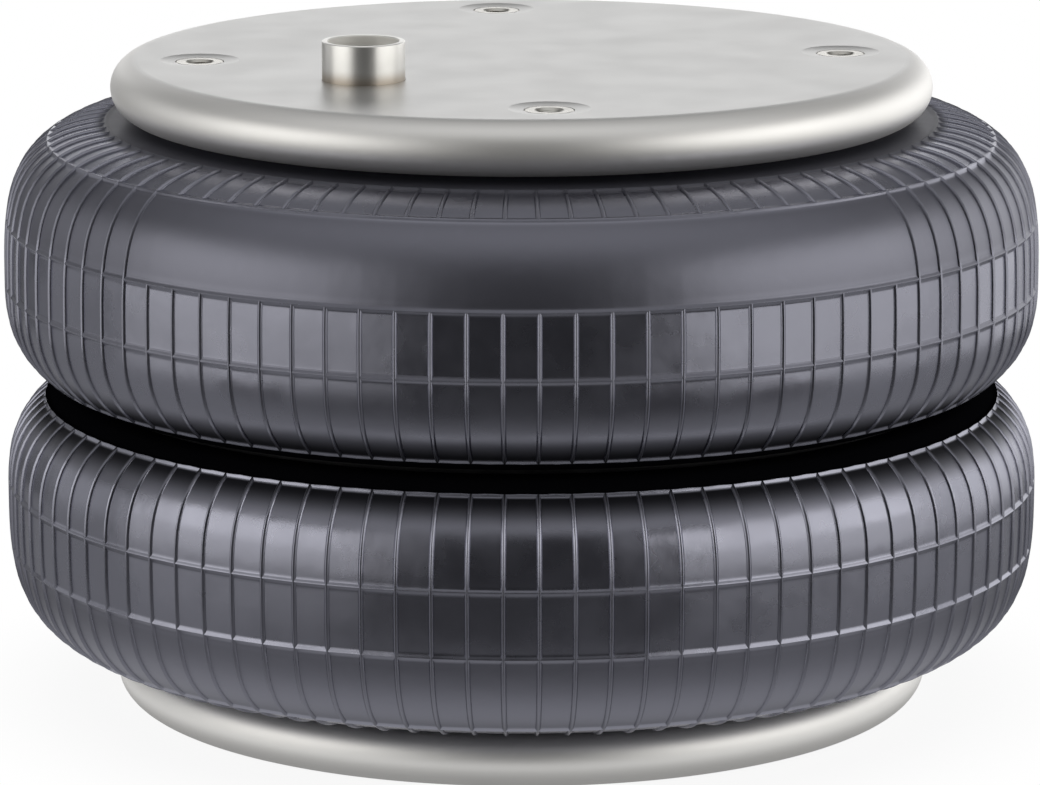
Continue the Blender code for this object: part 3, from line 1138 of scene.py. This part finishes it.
for side, body in (("upper", "top"), ("lower", "base")):
    upper = side == "upper"
    plate = bead_plate(side + "_plate", upper, sheet)
    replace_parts(plate, side + "_bead_plate")
    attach(plate, body)
    nut_nodes = [f"{side}_blind_nut_{k + 1}" for k in range(NUT_COUNT)]
    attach(blind_nuts(side + "_blind_nuts", upper, nut_metal, nut_nodes), body)
    section, lengths = convolution_section()
    turn = cell_turns()
    factors = cell_factors(turn, lengths, upper)
    rubber = moulded_rubber(side + "_rubber", 1 if upper else -1)
    wall = revolve(side + "_bellows", section, turn, upper=upper, factors=factors)
    wall = dressed(side + "_bellows", wall, rubber)
    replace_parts(wall, side + "_convolution")
    rib = dressed(side + "_ribs", ribs(side + "_ribs", upper, rubber), rubber)
    for piece in (wall, rib):
        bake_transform(piece)
    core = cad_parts[side + "_bead_core"]
    core.data.materials.clear()
    core.data.materials.append(wire)

inlet = air_inlet(boss_metal)
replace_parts(inlet, "air_inlet")
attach(inlet, "top")

hoop_ring = [
    on_circle((HOOP_CIRCLE, MIDDLE), HOOP_WIRE_RADIUS, angle)
    for angle in round_turns(HOOP_WIRE_FACETS)
]
hoop_mesh = revolve("waist_hoop", hoop_ring, round_turns(HOOP_FACETS))
hoop = dressed("waist_hoop", hoop_mesh, hoop_coat)
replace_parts(hoop, "girdle_hoop")
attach(hoop, "waist")


# Table, light and camera

TABLE_RADIUS = 0.6
TABLE_DROP = 0.0004  # below the plate that stands on it
TABLE_SIDES = 64
DARK_CORNER = math.radians(-143)  # from the camera's side, to the left

# Lamps: degrees from the camera's side, distance, height, width, upright size, brightness
LAMPS = {
    "left_softbox": (-64, 1.5, 0.65, 1.5, 0.62, 1.6),
    "low_left_softbox": (-64, 1.5, 0.04, 1.5, 0.66, 1.0),
    "left_strip": (-33, 1.55, 0.28, 0.3, 1.5, 0.55),
    "right_softbox": (66, 1.5, 0.7, 1.9, 0.7, 1.65),
    "low_right_softbox": (66, 1.5, 0.04, 1.9, 0.7, 1.0),
    "rear_softbox": (120, 1.6, 0.3, 0.9, 1.3, 0.7),
}


def in_plan(angle, distance=1.0, height=0.0):
    """A place at an angle from the camera's side of the part, to the right for a positive one."""
    return (distance * math.cos(FRONT + angle), distance * math.sin(FRONT + angle), height)


def facing(tree, direction, target):
    """How closely a direction points at a fixed one, from -1 to 1."""
    dot = tree.nodes.new("ShaderNodeVectorMath")
    dot.operation = "DOT_PRODUCT"
    tree.links.new(direction, dot.inputs[0])
    dot.inputs[1].default_value = target
    return dot.outputs["Value"]


def table():
    """A round white table that fades into the white behind it and keeps a soft shadow."""
    worked = bmesh.new()
    ring = [in_plan(angle, TABLE_RADIUS, -TABLE_DROP) for angle in round_turns(TABLE_SIDES)]
    worked.faces.new([worked.verts.new(corner) for corner in ring])
    mesh = bpy.data.meshes.new("table")
    worked.to_mesh(mesh)
    worked.free()
    piece = object_from("table", mesh)
    material = bpy.data.materials.new("white_table")
    material.use_nodes = True
    tree = material.node_tree
    tree.nodes.remove(tree.nodes["Principled BSDF"])
    output = tree.nodes["Material Output"]
    matt = tree.nodes.new("ShaderNodeBsdfDiffuse")
    matt.inputs["Color"].default_value = (0.88, 0.88, 0.88, 1)
    glow = tree.nodes.new("ShaderNodeEmission")
    place = own_place(tree)
    length = tree.nodes.new("ShaderNodeVectorMath")
    length.operation = "LENGTH"
    tree.links.new(place, length.inputs[0])
    away = length.outputs["Value"]
    white = between(tree, away, 0.13, 0.22, 0.9)
    path = tree.nodes.new("ShaderNodeLightPath")
    mirrored = path.outputs["Is Glossy Ray"]
    seen = math_node(tree, "MULTIPLY", path.outputs["Is Camera Ray"], white)
    share = math_node(tree, "MAXIMUM", seen, mirrored)
    # mirrored, it glows as a painted reflection of the table, dimmed as painted shadow under the
    # part and painted dark towards the camera
    under = between(tree, away, 0.14, 0.172, 0.3, 0.8)
    beyond = between(tree, away, 0.18, 0.25, 1, 0.46)
    under = math_node(tree, "MULTIPLY", under, beyond)
    near = between(tree, facing(tree, place, in_plan(0)), 0.15, 0.38, 1, 0.22)
    painted_dimming = math_node(tree, "SUBTRACT", 1.0, math_node(tree, "MULTIPLY", under, near))
    level = math_node(tree, "SUBTRACT", 1.0, math_node(tree, "MULTIPLY", mirrored, painted_dimming))
    tree.links.new(level, glow.inputs["Strength"])
    mix = tree.nodes.new("ShaderNodeMixShader")
    tree.links.new(share, mix.inputs[0])
    tree.links.new(matt.outputs[0], mix.inputs[1])
    tree.links.new(glow.outputs[0], mix.inputs[2])
    tree.links.new(mix.outputs[0], output.inputs["Surface"])
    mesh.materials.append(material)


def softbox(name, place, target, width, height, brightness):
    """A rectangular lamp of an even brightness, where 1 shows as white."""
    lamp = bpy.data.lights.new(name, "AREA")
    lamp.shape = "RECTANGLE"
    lamp.size = width
    lamp.size_y = height
    lamp.energy = brightness * math.pi * width * height
    lamp.color = (1, 0.99, 0.965)
    box = bpy.data.objects.new(name, lamp)
    box.location = place
    aim = Vector(target) - Vector(place)
    box.rotation_euler = aim.to_track_quat("-Z", "Y").to_euler()
    bpy.context.scene.collection.objects.link(box)


def studio():
    """White to the camera. Mirrored: pale behind the part and near the ground, dim elsewhere."""
    world = bpy.data.worlds.new("studio")
    bpy.context.scene.world = world
    world.use_nodes = True
    tree = world.node_tree
    links = tree.links
    output = tree.nodes["World Output"]
    tree.nodes.remove(tree.nodes["Background"])
    path = tree.nodes.new("ShaderNodeLightPath")
    direction = tree.nodes.new("ShaderNodeTexCoord").outputs["Generated"]
    back = facing(tree, direction, in_plan(math.pi))
    behind = between(tree, back, -0.1, 0.5)
    central = between(tree, back, 0.55, 0.92, 0.5)
    up = facing(tree, direction, (0, 0, 1))
    low = between(tree, up, 0.27, 0.42, 1.45, 0.2)
    sunk = between(tree, up, -0.14, 0.02, 0.6)
    high = between(tree, up, 0.48, 0.75, 0, 0.42)
    corner = between(tree, facing(tree, direction, in_plan(DARK_CORNER)), 0.94, 0.98, 1, 0.2)
    rear = math_node(tree, "MULTIPLY", math_node(tree, "ADD", low, high), corner)
    rear = math_node(tree, "MULTIPLY", rear, math_node(tree, "MULTIPLY", central, sunk))
    ahead = between(tree, up, 0.5, 0.9, 0.04, 0.7)
    blend = tree.nodes.new("ShaderNodeMix")
    links.new(behind, blend.inputs[0])
    links.new(ahead, blend.inputs[2])
    links.new(rear, blend.inputs[3])
    room = tree.nodes.new("ShaderNodeBackground")
    links.new(blend.outputs[0], room.inputs["Color"])
    fill = tree.nodes.new("ShaderNodeBackground")
    fill.inputs["Color"].default_value = (0.25, 0.25, 0.25, 1)
    white = tree.nodes.new("ShaderNodeBackground")
    white.inputs["Color"].default_value = (1, 1, 1, 1)
    reflected = tree.nodes.new("ShaderNodeMixShader")
    mirrored = math_node(
        tree, "MAXIMUM", path.outputs["Is Glossy Ray"], path.outputs["Is Transmission Ray"]
    )
    links.new(mirrored, reflected.inputs[0])
    links.new(fill.outputs[0], reflected.inputs[1])
    links.new(room.outputs[0], reflected.inputs[2])
    camera_sees = tree.nodes.new("ShaderNodeMixShader")
    links.new(path.outputs["Is Camera Ray"], camera_sees.inputs[0])
    links.new(reflected.outputs[0], camera_sees.inputs[1])
    links.new(white.outputs[0], camera_sees.inputs[2])
    links.new(camera_sees.outputs[0], output.inputs["Surface"])


def camera():
    """At the distance and angle of the photograph from a point in the middle of the part."""
    data = bpy.data.cameras.new("camera")
    data.sensor_width = 36
    data.lens = VIEW_LENS
    data.shift_x = VIEW_SHIFT
    eye = bpy.data.objects.new("camera", data)
    level = VIEW_DISTANCE * math.cos(VIEW_ELEVATION)
    rise = VIEW_DISTANCE * math.sin(VIEW_ELEVATION)
    eye.location = in_plan(0, level, VIEW_CENTRE + rise)
    aim = Vector((0, 0, VIEW_AIM)) - eye.location
    eye.rotation_euler = aim.to_track_quat("-Z", "Y").to_euler()
    bpy.context.scene.collection.objects.link(eye)
    bpy.context.scene.camera = eye


table()
studio()
for name, (degrees, distance, height, width, upright, brightness) in LAMPS.items():
    place = in_plan(math.radians(degrees), distance, height)
    softbox(name, place, (0, 0, MIDDLE), width, upright, brightness)
camera()
bpy.context.scene.view_settings.view_transform = "Standard"
